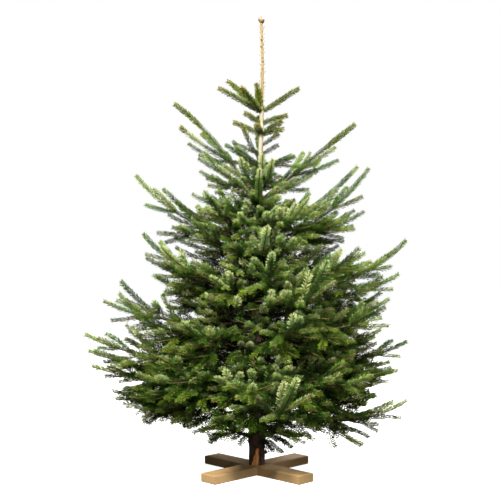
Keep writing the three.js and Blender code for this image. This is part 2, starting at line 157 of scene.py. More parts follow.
# Stronger ones, in groups of one habit. Each group has its limbs' slopes at the trunk and at their tips, how
# far they grow in a year, the whorl whose forks they have, and the limbs. A limb is (height, bearing, reach,
# climb), with two slopes of its own where it differs. Its place here fixes its draws.
STRAYS = (
    ((0.35, 0.65), 220, 4, (
        (1180, 188, 300, 165), (1150, 170, 262, 140), (930, 186, 400, 226, 0.15, 1),
        (985, 8, 424, 272, 0.2, 1.1), (960, 183, 380, 90), (860, 180, 350, 95), (820, 186, 345, 90),
    )),
    ((0.35, 0.65), 135, 5, (
        (900, 355, 440, 160), (880, 12, 420, 190), (790, 352, 340, 100), (800, 8, 345, 118),
        (690, 190, 466, 178), (640, 168, 458, 150), (720, 14, 476, 165), (690, 350, 536, 175),
        (630, 8, 612, 165), (545, 352, 550, 150), (510, 10, 526, 145), (420, 195, 490, 110),
        (450, 350, 516, 120), (470, 4, 500, 60), (420, 0, 500, 85), (1120, 350, 215, 90),
        (1110, 188, 250, 120), (1040, 184, 280, 95),
    )),
    ((0, 1.15), 150, 4, ((525, 173, 588, 240), (485, 178, 585, 230))),
    ((0.3, 0.35), 140, 5, (
        (330, 178, 712, 140), (300, 188, 684, 120), (270, 165, 616, 90), (265, 192, 602, 57),
        (255, 178, 552, 15), (252, 198, 520, 9), (245, 172, 450, -28), (290, 4, 600, 96), (330, 352, 560, 66),
        (345, 358, 560, 60), (375, 2, 560, 48), (300, 356, 500, 40), (240, 345, 502, 64), (185, 12, 500, 15),
        (170, 358, 465, -55, 0.25, -0.5), (135, 325, 230, 10), (180, 104, 480, 30), (320, 92, 560, 100),
    )),
    ((0.5, -0.6), 90, 5, (
        (128, 340, 150, -48), (104, 316, 84, -38), (140, 20, 130, -30), (120, 235, 120, -20),
        (110, 219, 238, 6), (100, 334, 112, -42),
    )),
    ((0.3, 0.5), 125, 5, (
        (1075, 262, 210, 50), (1055, 290, 230, 60), (1030, 235, 250, 62), (1015, 285, 270, 55),
        (990, 318, 280, 70), (985, 255, 300, 60), (1060, 95, 290, 70), (1010, 140, 300, 80),
        (1010, 45, 300, 80), (660, 140, 400, 130), (650, 58, 400, 120), (640, 98, 400, 120),
        (620, 204, 340, 80), (605, 338, 340, 80), (470, 130, 420, 110), (460, 55, 420, 110),
        (450, 92, 420, 110), (590, 128, 330, 80), (600, 152, 300, 60), (450, 142, 330, 60),
        (430, 118, 300, 60), (1190, 250, 170, 60), (1185, 285, 150, 40), (1175, 80, 190, 60),
    )),
    ((0.25, 1.1), 130, 5, (
        (1150, 252, 250, 115), (1150, 280, 268, 110), (1040, 270, 300, 175), (830, 275, 380, 160),
        (700, 306, 400, 137), (880, 223, 360, 143), (940, 296, 326, 141), (560, 335, 464, 129),
    )),
    ((0.3, 3), 150, 5, (
        (1300, 196, 74, 118), (1484, 215, 26, 116), (555, 178, 402, 156, 0, 2.2),
        (1150, 8, 216, 165, 0.4, 2), (1240, 185, 112, 120, 0.5, 2.5),
    )),
    ((0, 1.2), 205, 5, ((640, 298, 545, 220, 0.05, 1.43), (255, 283, 615, 177))),
    ((0.6, 0.5), 150, 2, ((1340, 350, 74, 48), (1300, 345, 74, 42), (1304, 190, 108, 44))),
)

# How a stem forks: at the end of each year's growth into a pair of side stems, and here and there a third.
# A level is a whorl's number from the top, and angles are in degrees.
GROWTH = {
    "orders": 4,  # from a limb, which is 0, to the last twigs
    "fork": 50,  # between a side stem and its parent
    "settle": 0.5,  # of that angle, which is left in a side stem's outer half
    "high_to_level": 4,  # forks are high down to this level, and low under it
    # A side stem's length over what its parent still has to go, at a fork and at the last one.
    "sides": {"low": (0.66, 0.85), "high": (0.74, 0.33)},
    "rolls": {"low": (28, -20), "high": (28, 8)},  # how far side stems turn down, by turns
    "upright": 0.62,  # as sides, for a limb's third stem
    # Limbs along the width have no third stems down to this level, nor at their last fork.
    "flat_to_level": 7,
    "flat_from": 0.7,  # how much of a limb's way is along the width, for that
    "third": {"side": 0.5, "roll": -90, "spread": 70, "to_order": 2},  # those of lesser stems
    "vary": 0.14,  # unevenness of the lengths
    "bow": 0.05,  # a limb's sideways bend over its reach
    "slimmer": 0.75,  # a side stem's radius over its parent's
    "radius": (1.3, 0.6),  # the most that it has, bare and for each year
}
# Short twigs between the forks of limbs: their length over a year's growth and their places in it, how far
# chance shifts, turns and lengthens them, their radius, and the level from which there are any.
BETWEEN_FORKS = {
    "side": 0.85, "places": (0.42, 0.68), "shift": 0.12, "turn": 40, "vary": 0.25, "radius": 1.8,
    "from_level": 5,
}
LOWEST = {"height": 100, "rise": 0.14}  # the lowest foliage, at the trunk, and its rise outwards
TIP_RADIUS = 1.5
STRAY_RADIUS = (1.5, 1.2)  # of the stronger single limbs, bare and for each year


def draw(key):
    """A fixed draw between 0 and 1 for each number."""
    value = math.sin(key * 12.9898 + 4.1414) * 43758.5453
    return value - math.floor(value)


def stray(key, spread):
    """A factor of about 1, with a fixed draw."""
    return 1 + spread * (2 * draw(key) - 1)


def trunk_at(height):
    """Radius and middle of the trunk at a height above its cut, in millimetres."""
    heights, radii, xs, ys = zip(*TRUNK)
    return tuple(float(np.interp(height, heights, column)) for column in (radii, xs, ys))


def scar_span(up):
    """The scar's middle and half width at a height above the cut, in metres. Takes a number or a wire."""
    middle = up * (SCAR["lean"] / SCAR["top"]) + SCAR["middle"] * MM
    half = SCAR["half"] * MM - up * (SCAR["narrowing"] / SCAR["top"])
    return middle, half


# ---------------------------------------------------------------- limbs and twigs


class Line:
    """A Bezier curve of three or four points, in metres."""

    def __init__(self, *points):
        self.points = [Vector(point) for point in points]

    def _level(self, share, stop):
        points = self.points
        while len(points) > stop:
            points = [a.lerp(b, share) for a, b in zip(points, points[1:])]
        return points

    def at(self, share):
        return self._level(share, 1)[0]

    def ahead(self, share):
        a, b = self._level(share, 2)
        return (b - a).normalized()

    def length(self):
        steps = [self.at(i / 12) for i in range(13)]
        return sum((b - a).length for a, b in zip(steps, steps[1:]))


class Stem:
    """One stem with its years of growth, and what it needs to be clothed."""

    def __init__(self, line, years, bare_years, key, order, level, radius):
        self.line, self.years, self.bare_years = line, years, bare_years
        self.key, self.order, self.level, self.radius = key, order, level, radius
        self.length = line.length()

    def radius_at(self, share):
        tip = TIP_RADIUS * MM
        return tip + (self.radius - tip) * (1 - share) ** 1.3


def limb_line(height, slopes, limb, key):
    """A limb's line, from the trunk's middle."""
    bearing, reach, climb, *own = limb
    _, x, y = trunk_at(height)
    angle = math.radians(bearing)
    out = Vector((math.cos(angle), math.sin(angle), 0))
    aside = Vector((-out.y, out.x, 0))
    bow = GROWTH["bow"] * reach * (2 * draw(key) - 1)
    leave, arrive = (slope * reach / 3 for slope in own or slopes)
    root = Vector((x, y, height))

    def point(share, rise, sway=0):
        return (root + out * (reach * share) + aside * sway + UP * rise) * MM + UP * FOOT

    return Line(point(0, 0), point(1 / 3, leave), point(2 / 3, climb - arrive, bow), point(1, climb))


def side_line(parent, share, roll, length):
    """A side stem's line: it leaves its parent at the fork's angle, rolled round it, and bends forward."""
    root, ahead = parent.at(share), parent.ahead(share)
    right = ahead.cross(UP).normalized()
    side = Matrix.Rotation(math.radians(roll), 3, ahead) @ right

    def way(angle):
        return ahead * math.cos(math.radians(angle)) + side * math.sin(math.radians(angle))

    knee = root + way(GROWTH["fork"]) * (length / 2)
    return Line(root, knee, knee + way(GROWTH["fork"] * GROWTH["settle"]) * (length / 2))


def hangs_low(line):
    """Whether a side stem would reach under the lowest foliage."""
    tip = line.at(1)
    lowest = LOWEST["height"] * MM + LOWEST["rise"] * math.hypot(tip.x, tip.y)
    return tip.z - FOOT < lowest


def grow(stems, stem, turns, shortest):
    """Adds a stem and all that forks from it."""
    stems.append(stem)
    if stem.order == GROWTH["orders"]:
        return
    zone = "high" if stem.level <= GROWTH["high_to_level"] else "low"
    rolls, third = GROWTH["rolls"][zone], GROWTH["third"]
    for year in range(max(1, stem.bare_years), stem.years):
        share = year / stem.years
        last = year == stem.years - 1
        side = GROWTH["sides"][zone][last]
        tilts = [rolls[(turn + stem.order) % 2] for turn in (year, year + 1)]
        children = [(tilts[0], side), (180 - tilts[1], side)]
        if stem.order == 0:
            flat = last or stem.level <= GROWTH["flat_to_level"]
            if turns and not (flat and abs(stem.line.ahead(share).x) > GROWTH["flat_from"]):
                children.append((turns[year % len(turns)], GROWTH["upright"]))
        elif stem.order <= third["to_order"]:
            children.append((third["roll"] + third["spread"] * (draw(stem.key + year) - 0.5), third["side"]))
        for i, (roll, part) in enumerate(children):
            key = stem.key * 7.31 + year * 3.7 + i
            length = stem.length * (1 - share) * part * stray(key, GROWTH["vary"])
            if length < shortest:
                continue
            line = side_line(stem.line, share, roll, length)
            if i == 2 and hangs_low(line):
                line = side_line(stem.line, share, -roll, length)
            years = stem.years - year
            most = (GROWTH["radius"][0] + GROWTH["radius"][1] * years) * MM
            radius = min(stem.radius_at(share) * GROWTH["slimmer"], most)
            grow(stems, Stem(line, years, 0, key, stem.order + 1, stem.level, radius), turns, shortest)
    if stem.order == 0 and stem.level >= BETWEEN_FORKS["from_level"]:
        stems += twigs_between_forks(stem, rolls, shortest)


def twigs_between_forks(limb, rolls, shortest):
    """The short twigs along a limb's needled years."""
    for year in range(limb.bare_years, limb.years - 1):
        for i, place in enumerate(BETWEEN_FORKS["places"]):
            key = limb.key * 3.17 + year * 5.3 + i
            share = (year + place + BETWEEN_FORKS["shift"] * (draw(key) - 0.5)) / limb.years
            roll = rolls[i] + BETWEEN_FORKS["turn"] * (draw(key + 0.7) - 0.5)
            if (year + i) % 2:
                roll = 180 - roll
            length = limb.length / limb.years * BETWEEN_FORKS["side"] * stray(key, BETWEEN_FORKS["vary"])
            if length >= shortest:
                line = side_line(limb.line, share, roll, length)
                yield Stem(line, 1, 0, key, 1, limb.level, BETWEEN_FORKS["radius"] * MM)


@functools.lru_cache
def skeleton(shortest):
    """Every stem of the tree, limbs first."""
    stems = []
    for level, (height, slopes, years, bare_years, radius, turns, limbs) in enumerate(WHORLS):
        for i, limb in enumerate(limbs):
            key = level * 17 + i * 5 + 1
            line = limb_line(height, slopes, limb, key)
            grow(stems, Stem(line, years, bare_years, key, 0, level, radius * MM), turns, shortest)
    for level in range(BETWEEN["highest_whorl"], BETWEEN["lowest_whorl"]):
        above, below = WHORLS[level], WHORLS[level + 1]
        reach = BETWEEN["reach"] * np.mean([limb[1] for limb in below[6]])
        for i in range(BETWEEN["count"]):
            key = 500 + level * 31 + i * 3
            height = below[0] + (above[0] - below[0]) * (0.2 + 0.6 * draw(key + 0.5))
            bearing = 360 * (i + level * GOLDEN) / BETWEEN["count"]
            own_reach = reach * stray(key, 0.3)
            limb = (bearing, own_reach, own_reach * BETWEEN["lift"])
            line = limb_line(height, BETWEEN["slopes"], limb, key)
            stem = Stem(line, BETWEEN["years"], 0, key, 0, level, BETWEEN["radius"] * MM)
            grow(stems, stem, (-90,), shortest)
    for group, (slopes, yearly, level, limbs) in enumerate(STRAYS):
        for i, (height, *limb) in enumerate(limbs):
            key = 900 + group * 71 + i * 3
            years = max(1, round(limb[1] / yearly))
            line = limb_line(height, slopes, limb, key)
            bare_years = 1 if years > 2 else 0
            radius = (STRAY_RADIUS[0] + STRAY_RADIUS[1] * years) * MM
            stem = Stem(line, years, bare_years, key, 0, level, radius)
            grow(stems, stem, (-90,), shortest)
    return stems


# ---------------------------------------------------------------- meshes


def new_piece(name, mesh):
    piece = bpy.data.objects.new(name, mesh)
    bpy.context.scene.collection.objects.link(piece)
    return piece


def tube(points, radii, sides, relief=None):
    """Vertices and faces of a closed round tube through points, and relief(place, angle) on its radius."""
    vertices, faces = [], []
    last = len(points) - 1
    for i, (point, radius) in enumerate(zip(points, radii)):
        ahead = (points[min(i + 1, last)] - points[max(i - 1, 0)]).normalized()
        reference = UP if abs(ahead.z) < 0.95 else Vector((0, 1, 0))
        right = ahead.cross(reference).normalized()
        over = right.cross(ahead)
        for j in range(sides):
            angle = 2 * math.pi * j / sides
            way = right * math.cos(angle) + over * math.sin(angle)
            place = point + way * radius
            if relief:
                place += way * relief(place, i / last)
            vertices.append(place)
    for i in range(last):
        for j in range(sides):
            a, b = i * sides + j, i * sides + (j + 1) % sides
            faces.append((a, b, b + sides, a + sides))
    faces.append(tuple(range(sides))[::-1])
    faces.append(tuple(last * sides + j for j in range(sides)))
    return vertices, faces


def join_tubes(name, tubes):
    """One piece of many closed tubes."""
    vertices, faces = [], []
    for some_vertices, some_faces in tubes:
        start = len(vertices)
        vertices += some_vertices
        faces += [tuple(start + i for i in face) for face in some_faces]
    mesh = bpy.data.meshes.new(name)
    mesh.from_pydata(vertices, [], faces)
    mesh.validate()
    mesh.shade_smooth()
    return new_piece(name, mesh)


# ---------------------------------------------------------------- node trees


class Wire:
    """A node's output, so that maths on it reads as an expression."""

    def __init__(self, graph, socket):
        self.graph, self.socket = graph, socket

    @property
    def is_vector(self):
        return self.socket.type == "VECTOR"

    def _maths(self, operation, *others):
        return self.graph.maths(operation, self, *others)

    def __add__(self, other):
        return self._maths("ADD", other)

    __radd__ = __add__

    def __sub__(self, other):
        return self._maths("SUBTRACT", other)

    def __rsub__(self, other):
        return self.graph.maths("SUBTRACT", other, self)

    def __mul__(self, other):
        return self._maths("MULTIPLY", other)

    __rmul__ = __mul__

    def __abs__(self):
        return self._maths("ABSOLUTE")

    def sine(self):
        return self._maths("SINE")

    def cosine(self):
        return self._maths("COSINE")

    def fraction(self):
        return self._maths("FRACT")

    def cross(self, other):
        return self.graph.vector_maths("CROSS_PRODUCT", self, other)

    def normalized(self):
        return self.graph.vector_maths("NORMALIZE", self)

    def ramp(self, low, high, to_low=0.0, to_high=1.0):
        """This number mapped from one range to another, and held to it."""
        values = {"Value": self, "From Min": low, "From Max": high, "To Min": to_low, "To Max": to_high}
        return self.graph.add("ShaderNodeMapRange", {"clamp": True}, values, "Result")


class Graph:
    """Adds nodes to a tree."""

    def __init__(self, tree):
        self.tree = tree

    def add(self, kind, settings=None, values=None, output=0):
        """A node of a kind: its settings first, then its sockets' values or links. Gives one output."""
        node = self.tree.nodes.new(kind)
        for name, setting in (settings or {}).items():
            setattr(node, name, setting)
        for name, value in (values or {}).items():
            socket = node.inputs[name]
            if isinstance(value, Wire):
                self.tree.links.new(value.socket, socket)
            else:
                socket.default_value = value
        return Wire(self, node.outputs[output]) if node.outputs else None

    def maths(self, operation, *terms):
        vectors = [isinstance(term, Wire) and term.is_vector for term in terms]
        if any(vectors):
            if operation == "MULTIPLY" and not all(vectors):
                vector, number = terms if vectors[0] else terms[::-1]
                values = {0: vector, "Scale": number}
                return self.add("ShaderNodeVectorMath", {"operation": "SCALE"}, values)
            return self.vector_maths(operation, *terms)
        return self.add("ShaderNodeMath", {"operation": operation}, dict(enumerate(terms)))

    def vector_maths(self, operation, *terms):
        return self.add("ShaderNodeVectorMath", {"operation": operation}, dict(enumerate(terms)))

    def mix(self, share, *colours):
        """Two colours mixed."""
        a, b = (colour if isinstance(colour, Wire) else (*colour[:3], 1) for colour in colours)
        return self.add("ShaderNodeMix", {"data_type": "RGBA"}, {0: share, 6: a, 7: b}, 2)


class Finish(Graph):
    """A material under construction."""

    def __init__(self, name):
        self.material = bpy.data.materials.new(name)
        self.material.use_nodes = True
        super().__init__(self.material.node_tree)
        self.shader = self.tree.nodes["Principled BSDF"]

    def place(self, scale=(1, 1, 1), turn=0.0):
        """Object coordinates, stretched, and turned about the upright."""
        here = self.add("ShaderNodeTexCoord", output="Object")
        turned = self.add("ShaderNodeMapping", values={"Vector": here, "Rotation": (0, 0, turn)})
        return self.add("ShaderNodeMapping", values={"Vector": turned, "Scale": scale})

    def axis(self, name):
        """One coordinate of the place: X, Y or Z."""
        here = self.add("ShaderNodeTexCoord", output="Object")
        return self.add("ShaderNodeSeparateXYZ", values={"Vector": here}, output=name)

    def noise(self, scale, detail=2.0, rough=0.5, stretch=(1, 1, 1), distortion=0.0, turn=0.0):
        values = {
            "Vector": self.place(stretch, turn),
            "Scale": scale,
            "Detail": detail,
            "Roughness": rough,
            "Distortion": distortion,
        }
        return self.add("ShaderNodeTexNoise", values=values, output="Fac")

    def bump(self, height, strength, distance):
        values = {"Height": height, "Strength": strength, "Distance": distance}
        return self.add("ShaderNodeBump", values=values, output="Normal")

    def finish(self, **sockets):
        """Sets or links the shader's sockets, and gives the material."""
        for name, value in sockets.items():
            socket = self.shader.inputs[name.replace("_", " ")]
            if isinstance(value, Wire):
                self.tree.links.new(value.socket, socket)
            elif socket.type == "RGBA":
                socket.default_value = (*value[:3], 1)
            else:
                socket.default_value = value
        return self.material


# ---------------------------------------------------------------- finishes


def needle_material(name, colour, rough, fade):
    """Needles: one colour, with a fine unevenness in its depth."""
    finish = Finish(name)
    speckle = finish.noise(260, 1)
    dark = tuple(channel * (1 - fade) for channel in colour[:3])
    light = tuple(channel * (1 + fade) for channel in colour[:3])
    colours = finish.mix(speckle.ramp(0.35, 0.65), dark, light)
    return finish.finish(Base_Color=colours, Roughness=rough, Specular_IOR_Level=0.1)


def twig_material(name, colour, shade):
    """Bark of twigs and scales of buds: two colours in fine flecks."""
    finish = Finish(name)
    grain = finish.noise(420, 3, 0.6)
    colours = finish.mix(grain.ramp(0.3, 0.7), colour, shade)
    normal = finish.bump(grain, 0.4, 0.0006)
    return finish.finish(Base_Color=colours, Roughness=0.72, Normal=normal)


def scar(finish):
    """Where the foot's bark is off, from 0 to 1."""
    across, forward, up = (finish.axis(name) for name in "XYZ")
    up = up - FOOT
    ragged = (finish.noise(140, 3, 0.6, stretch=(1, 1, 0.4)) - 0.5) * 0.009
    middle, half = scar_span(up)
    inside = (half - abs(across - middle) + ragged).ramp(0.0, 0.0012)
    below = (up + ragged).ramp((SCAR["top"] - 4) * MM, SCAR["top"] * MM, 1.0, 0.0)
    return inside * below * forward.ramp(-0.014, -0.01, 1.0, 0.0)


def bark_material():
    """Brown scaly bark at the foot, paling to cream high up and to straw on the leader."""
    finish = Finish("trunk_bark")
    palette = bpy.context.scene.cut_tree_colours
    high = finish.axis("Z")
    plates = finish.noise(60, 5, 0.65, stretch=(1, 1, 0.45), distortion=0.6)
    fine = finish.noise(420, 4, 0.6, stretch=(1, 1, 0.6))
    patches = finish.noise(9, 3, 0.6)
    brown = finish.mix(plates.ramp(0.36, 0.62), palette.bark_deep, palette.bark)
    brown = finish.mix(patches.ramp(0.45, 0.7) * 0.5, brown, palette.bark_grey)
    cream = finish.mix(patches.ramp(0.35, 0.75), palette.bark_pale, palette.bark_grey)
    paling = (high + (patches - 0.5) * 0.3).ramp(1.0, 1.32)
    colours = finish.mix(paling, brown, cream)
    straw = finish.mix(high.ramp(1.56, 1.72), palette.leader_green, palette.leader)
    scales = finish.noise(150, 3, 0.6, stretch=(1, 1, 0.5))
    straw = finish.mix(scales.ramp(0.56, 0.66) * 0.7, straw, palette.bud)
    colours = finish.mix(high.ramp(1.52, 1.56), colours, straw)
    grain = finish.noise(230, 4, 0.6, stretch=(1, 1, 0.16))
    # The scar's wood colours are made lighter than the wood is, as painted light on the shaded foot.
    wood = finish.mix(grain.ramp(0.36, 0.66), palette.wood, palette.wood_pale)
    colours = finish.mix(scar(finish), colours, wood)
    relief = plates * 0.7 + fine * 0.3
    rough = plates.ramp(0.3, 0.7, 0.92, 0.74)
    return finish.finish(Base_Color=colours, Roughness=rough, Normal=finish.bump(relief, 0.7, 0.002))


def timber_material(name, turn):
    """Planed softwood whose grain runs along the board."""
    finish = Finish(name)
    palette = bpy.context.scene.cut_tree_colours
    wander = finish.noise(5, 2, 0.5, stretch=(0.3, 1, 1), turn=turn)
    along = finish.place((0.05, 1, 1), turn)
    rings = {"Vector": along, "Scale": 34, "Distortion": 3.2, "Detail": 2, "Detail Scale": 0.8}
    settings = {"wave_type": "BANDS", "bands_direction": "Y", "wave_profile": "SAW"}
    lines = finish.add("ShaderNodeTexWave", settings, rings, "Fac")
    fibres = finish.noise(900, 2, 0.6, stretch=(0.06, 1, 1), turn=turn)
    grain = lines * 0.55 + wander * 0.25 + fibres * 0.2
    wood = finish.mix(grain.ramp(0.25, 0.85), palette.timber, palette.timber_dark)
    rough = fibres.ramp(0.3, 0.7, 0.55, 0.72)
    return finish.finish(Base_Color=wood, Roughness=rough, Normal=finish.bump(grain, 0.25, 0.0008))


def zinc_material():
    """Dull spangled zinc on the screw."""
    finish = Finish("zinc")
    spangle = finish.noise(220, 2)
    colours = finish.mix(spangle.ramp(0.3, 0.7), (0.55, 0.56, 0.57), (0.72, 0.73, 0.74))
    return finish.finish(Base_Color=colours, Metallic=1.0, Roughness=spangle.ramp(0.3, 0.7, 0.3, 0.45))


def floor_material():
    """A floor that is white by its own glow."""
    finish = Finish("pale_floor")
    mottle = finish.noise(3, 2)
    colours = finish.mix(mottle, (0.9, 0.9, 0.9), (0.92, 0.92, 0.92))
    return finish.finish(Base_Color=colours, Roughness=0.8, Specular_IOR_Level=0.2,
                         Emission_Color=(1, 1, 1), Emission_Strength=FLOOR["glow"])


# ---------------------------------------------------------------- properties


def colour_property(name, description, default):
    return bpy.props.FloatVectorProperty(
        name=name, description=description, default=default, subtype="COLOR", size=3, min=0, max=1
    )


def length_property(name, description, default):
    return bpy.props.FloatProperty(name=name, description=description, default=default, unit="LENGTH")


class CutTreeSizes(bpy.types.PropertyGroup):
    """Sizes that shape the foliage."""

    needle_length: length_property("Needle length", "A full-grown needle", 0.026)
    needle_width: length_property("Needle width", "A needle at its widest", 0.0046)
    needle_thickness: length_property("Needle thickness", "A needle's depth", 0.0016)
    needle_spacing: length_property("Needle spacing", "Distance along a shoot from needle to needle", 0.00118)
    shortest_twig: length_property("Shortest twig", "A side twig under this length isn't grown", 0.065)
    bud_length: length_property("Bud length", "A bud at a shoot's tip", 0.009)


class CutTreeColours(bpy.types.PropertyGroup):
    """Colours of bark, buds and stand."""

    bark: colour_property("Bark", "Ridges of the lower bark", (0.115, 0.07, 0.043))
    bark_deep: colour_property("Bark furrows", "Furrows of the lower bark", (0.03, 0.018, 0.012))
    bark_grey: colour_property("Bark bloom", "Grey patches on the bark", (0.2, 0.16, 0.11))
    bark_pale: colour_property("Pale bark", "Bark high on the trunk", (0.64, 0.57, 0.42))
    leader: colour_property("Leader", "Bark of this year's leader", (0.4, 0.26, 0.11))
    leader_green: colour_property("Leader's foot", "Bark low on this year's leader", (0.26, 0.2, 0.025))
    bud: colour_property("Bud", "Bud scales", (0.21, 0.13, 0.04))
    # The scar's two wood colours are its own orange, made lighter than the wood is, as painted light on the
    # shaded foot.
    wood: colour_property("Wood", "Bare wood of the scar", (0.74, 0.19, 0.035))
    wood_pale: colour_property("Pale wood", "Lighter grain of the scar", (1, 0.55, 0.22))
    timber: colour_property("Timber", "Early wood of the boards", (0.62, 0.42, 0.2))
    timber_dark: colour_property("Timber rings", "Late wood of the boards", (0.42, 0.24, 0.1))


# Bark of limbs, twigs and shoots: its colour and its shade.
BARKS = {
    "bough_bark": ((0.16, 0.11, 0.06), (0.07, 0.045, 0.025)),
    "twig_bark": ((0.17, 0.115, 0.06), (0.09, 0.06, 0.03)),
    "shoot_bark": ((0.4, 0.24, 0.1), (0.26, 0.14, 0.055)),
}
BUD_SHADE = (0.12, 0.07, 0.02)
# Tints of the needles, darker to lighter, which are partly their own tone and partly painted light and shade:
# name, upper side, underside, and the painted light from which a shoot has the next tint. The first, shade,
# is painted shade. The last two go by height.
TINTS = (
    ("shade", (0.004, 0.015, 0.001), (0.012, 0.03, 0.006), 0.3),
    ("deep", (0.011, 0.045, 0.001), (0.062, 0.128, 0.026), 0.52),
    ("middle", (0.037, 0.107, 0.003), (0.168, 0.283, 0.068), 0.74),
    ("bright", (0.08, 0.175, 0.008), (0.3, 0.43, 0.17), 0.92),
    ("tip", (0.165, 0.27, 0.02), (0.45, 0.55, 0.23), math.inf),
    ("crown", (0.1, 0.14, 0.008), (0.25, 0.31, 0.09), math.inf),
    ("crown_tip", (0.2, 0.21, 0.03), (0.33, 0.34, 0.1), math.inf),
)
# How far apart needles stand over their usual spacing.
GROWTHS = {"close": 0.42, "dense": 0.68, "even": 1.0, "thin": 1.4, "sparse": 1.8}
# Painted light on a shoot, which sets its tint: what all have, what outer, high and rising ones have more, as
# painted light, how far chance moves it low on the tree and how much less at its top, and what youth, age and
# a shoot's tip add, as the needles' own tone and painted light.
LIGHT = {
    "all": 0.3, "out": 0.22, "most_out": 1.1, "high": 0.12, "rising": 0.3, "level": 0.25,
    "chance": 0.92, "calm": 0.3, "young": 0.1, "old": -0.24, "tip": 0.2,
}
# The crown's half width where it starts, in metres, and how much narrower it is at its top.
CROWN = {"from": 0.3, "height": 1.2, "half": 0.62, "narrowing": 0.42}
# Inside it, as shares of that half width, there is no light between these heights: shoots there get the shade
# tint, painted shade.
HIDDEN = {"out": 0.34, "old_out": 0.5, "from": 0.42, "to": 1.25}
# Needles' size at the ends of a year's growth, how much more in its middle, how much less high on the tree,
# and factors where they stand close and at a shoot's very tip.
SIZE = {"ends": 0.84, "middle": 0.16, "high": 0.24, "close": 1.15, "tip": 0.8}
# From this rise on a shoot's needles close round it, and over this much more they do so fully.
STEEP = {"from": 0.55, "over": 0.35}
# Angles in degrees at which needles stand above and beside a shoot, and their unevenness.
SHOOT_ANGLES = (36, 54, 9)
LEADER_ANGLES = (38, 46, 16)
# Needles along the leader: colour, spacing in metres, size over others, and millimetres between its points.
LEADER_NEEDLES = {"colour": (0.42, 0.38, 0.12), "spacing": 0.0036, "size": 0.8, "step": 24}
# How far round a shoot needles stand on each side, low and how much more high on the tree, in degrees.
SPREAD = (112, 36)
# Outlines of buds: places and radii over their length, and their sides.
BUD = (((-0.25, 0.22), (0.2, 0.34), (0.75, 0.05)), 4)
LEADER_BUD = (((0, 0.24), (0.3, 0.34), (0.65, 0.26), (1, 0.06)), 8)
CLUSTERS_FROM = 1.1  # metres up, where a shoot's tip has three buds in place of one
CROWN_FROM = 1.4  # metres up, where the shoots are close-needled and olive
TIP_LENGTH = 0.032  # of each shoot, a little lighter than the rest
MOST_NEEDLES = 48000  # in one piece, four faces each


# ---------------------------------------------------------------- operators


class CUTTREE_OT_trunk(bpy.types.Operator):
    """Makes the trunk with its bark's relief, its cut-off limb and the scar at its foot"""

    bl_idname = "cut_tree.trunk"
    bl_label = "Trunk"

    def execute(self, context):
        points, radii = [], []
        for height in range(0, TRUNK[-1][0] + 1, RINGS["step"]):
            radius, x, y = trunk_at(height)
            off = min(abs(whorl[0] - height) for whorl in WHORLS)
            swell = 1 + SWELL["share"] * max(0, 1 - off / SWELL["height"])
            points.append(Vector((x, y, height)) * MM + UP * FOOT)
            radii.append(radius * swell * MM)

        def relief(place, share):
            up = place.z - FOOT
            middle, half = scar_span(up)
            if up < SCAR["top"] * MM and place.y < 0 and abs(place.x - middle) < half:
                return -SCAR["depth"] * MM
            radius = trunk_at(up / MM)[0] * MM
            stretched = Vector((place.x, place.y, place.z * RELIEF["upright"]))
            scales = noise.fractal(stretched * RELIEF["scales"], 0.8, 2.1, 4)
            lumps = noise.noise(stretched * RELIEF["lumps"])
            depth = RELIEF["cut"] * (1 - share) + RELIEF["tip"]
            return radius * depth * (0.8 * scales + 0.6 * lumps - 0.3)

        trunk = tube(points, radii, RINGS["sides"], relief)
        piece = join_tubes("trunk_bark", [trunk, self.stub()])
        piece.data.materials.append(bark_material())
        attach(piece, "root")
        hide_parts("trunk")
        return {"FINISHED"}

    def stub(self):
        """The cut-off limb."""
        steps, sides = 6, 14
        angle = math.radians(STUB["bearing"])
        out = Vector((math.cos(angle), math.sin(angle), STUB["slope"]))
        root = Vector((0, 0, STUB["height"] * MM + FOOT)) + out * (STUB["start"] * MM)
        points, radii = [], []
        for i in range(steps + 1):
            points.append(root + out * (i * STUB["length"] / steps * MM))
            radii.append(STUB["radius"] * MM * (1 + STUB["flare"] - STUB["flare"] * i / steps))
        return tube(points, radii, sides, lambda place, share: 0.0006 * noise.noise(place * 300))


class CUTTREE_OT_boughs(bpy.types.Operator):
    """Makes the limbs and all the twigs that fork from them"""

    bl_idname = "cut_tree.boughs"
    bl_label = "Boughs and twigs"

    def execute(self, context):
        limbs, old, young = [], [], []
        for stem in skeleton(context.scene.cut_tree_sizes.shortest_twig):
            if stem.order == 0:
                limbs.append(self.limb(stem))
                continue
            split = (stem.years - 1) / stem.years
            if split > 0:
                old.append(self.twig(stem, 0, split))
            young.append(self.twig(stem, max(0, split - 0.02), 1))
        for name, tubes, bark in (
            ("boughs", limbs, "bough_bark"),
            ("old_twigs", old, "twig_bark"),
            ("young_twigs", young, "shoot_bark"),
        ):
            piece = join_tubes(name, tubes)
            piece.data.materials.append(twig_material(bark, *BARKS[bark]))
            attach(piece, "root")
        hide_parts(*(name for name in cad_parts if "_bough_" in name))
        return {"FINISHED"}

    def limb(self, stem):
        """A limb's tube, with its bark's relief."""
        steps = max(6, int(stem.length / 0.014))
        shares = [i / steps for i in range(steps + 1)]
        points = [stem.line.at(share) for share in shares]
        radii = [stem.radius_at(share) for share in shares]

        def relief(place, share):
            return stem.radius_at(share) * 0.16 * noise.noise(place * 130)

        return tube(points, radii, 8, relief)

    def twig(self, stem, start, end):
        """A stretch of a twig, as a square tube."""
        steps = 2 if (end - start) * stem.length < 0.1 else 3
        shares = [start + (end - start) * i / steps for i in range(steps + 1)]
        points = [stem.line.at(share) for share in shares]
        return tube(points, [stem.radius_at(share) for share in shares], 4)


def curve_object(name, splines):
    """A curve object of open poly splines, each a list of (point, size, tilt)."""
    data = bpy.data.curves.new(name, "CURVE")
    data.dimensions = "3D"
    for points in splines:
        spline = data.splines.new("POLY")
        spline.points.add(len(points) - 1)
        for target, (place, size, tilt) in zip(spline.points, points):
            target.co, target.radius, target.tilt = (*place, 1), size, tilt
    return new_piece(name, data)


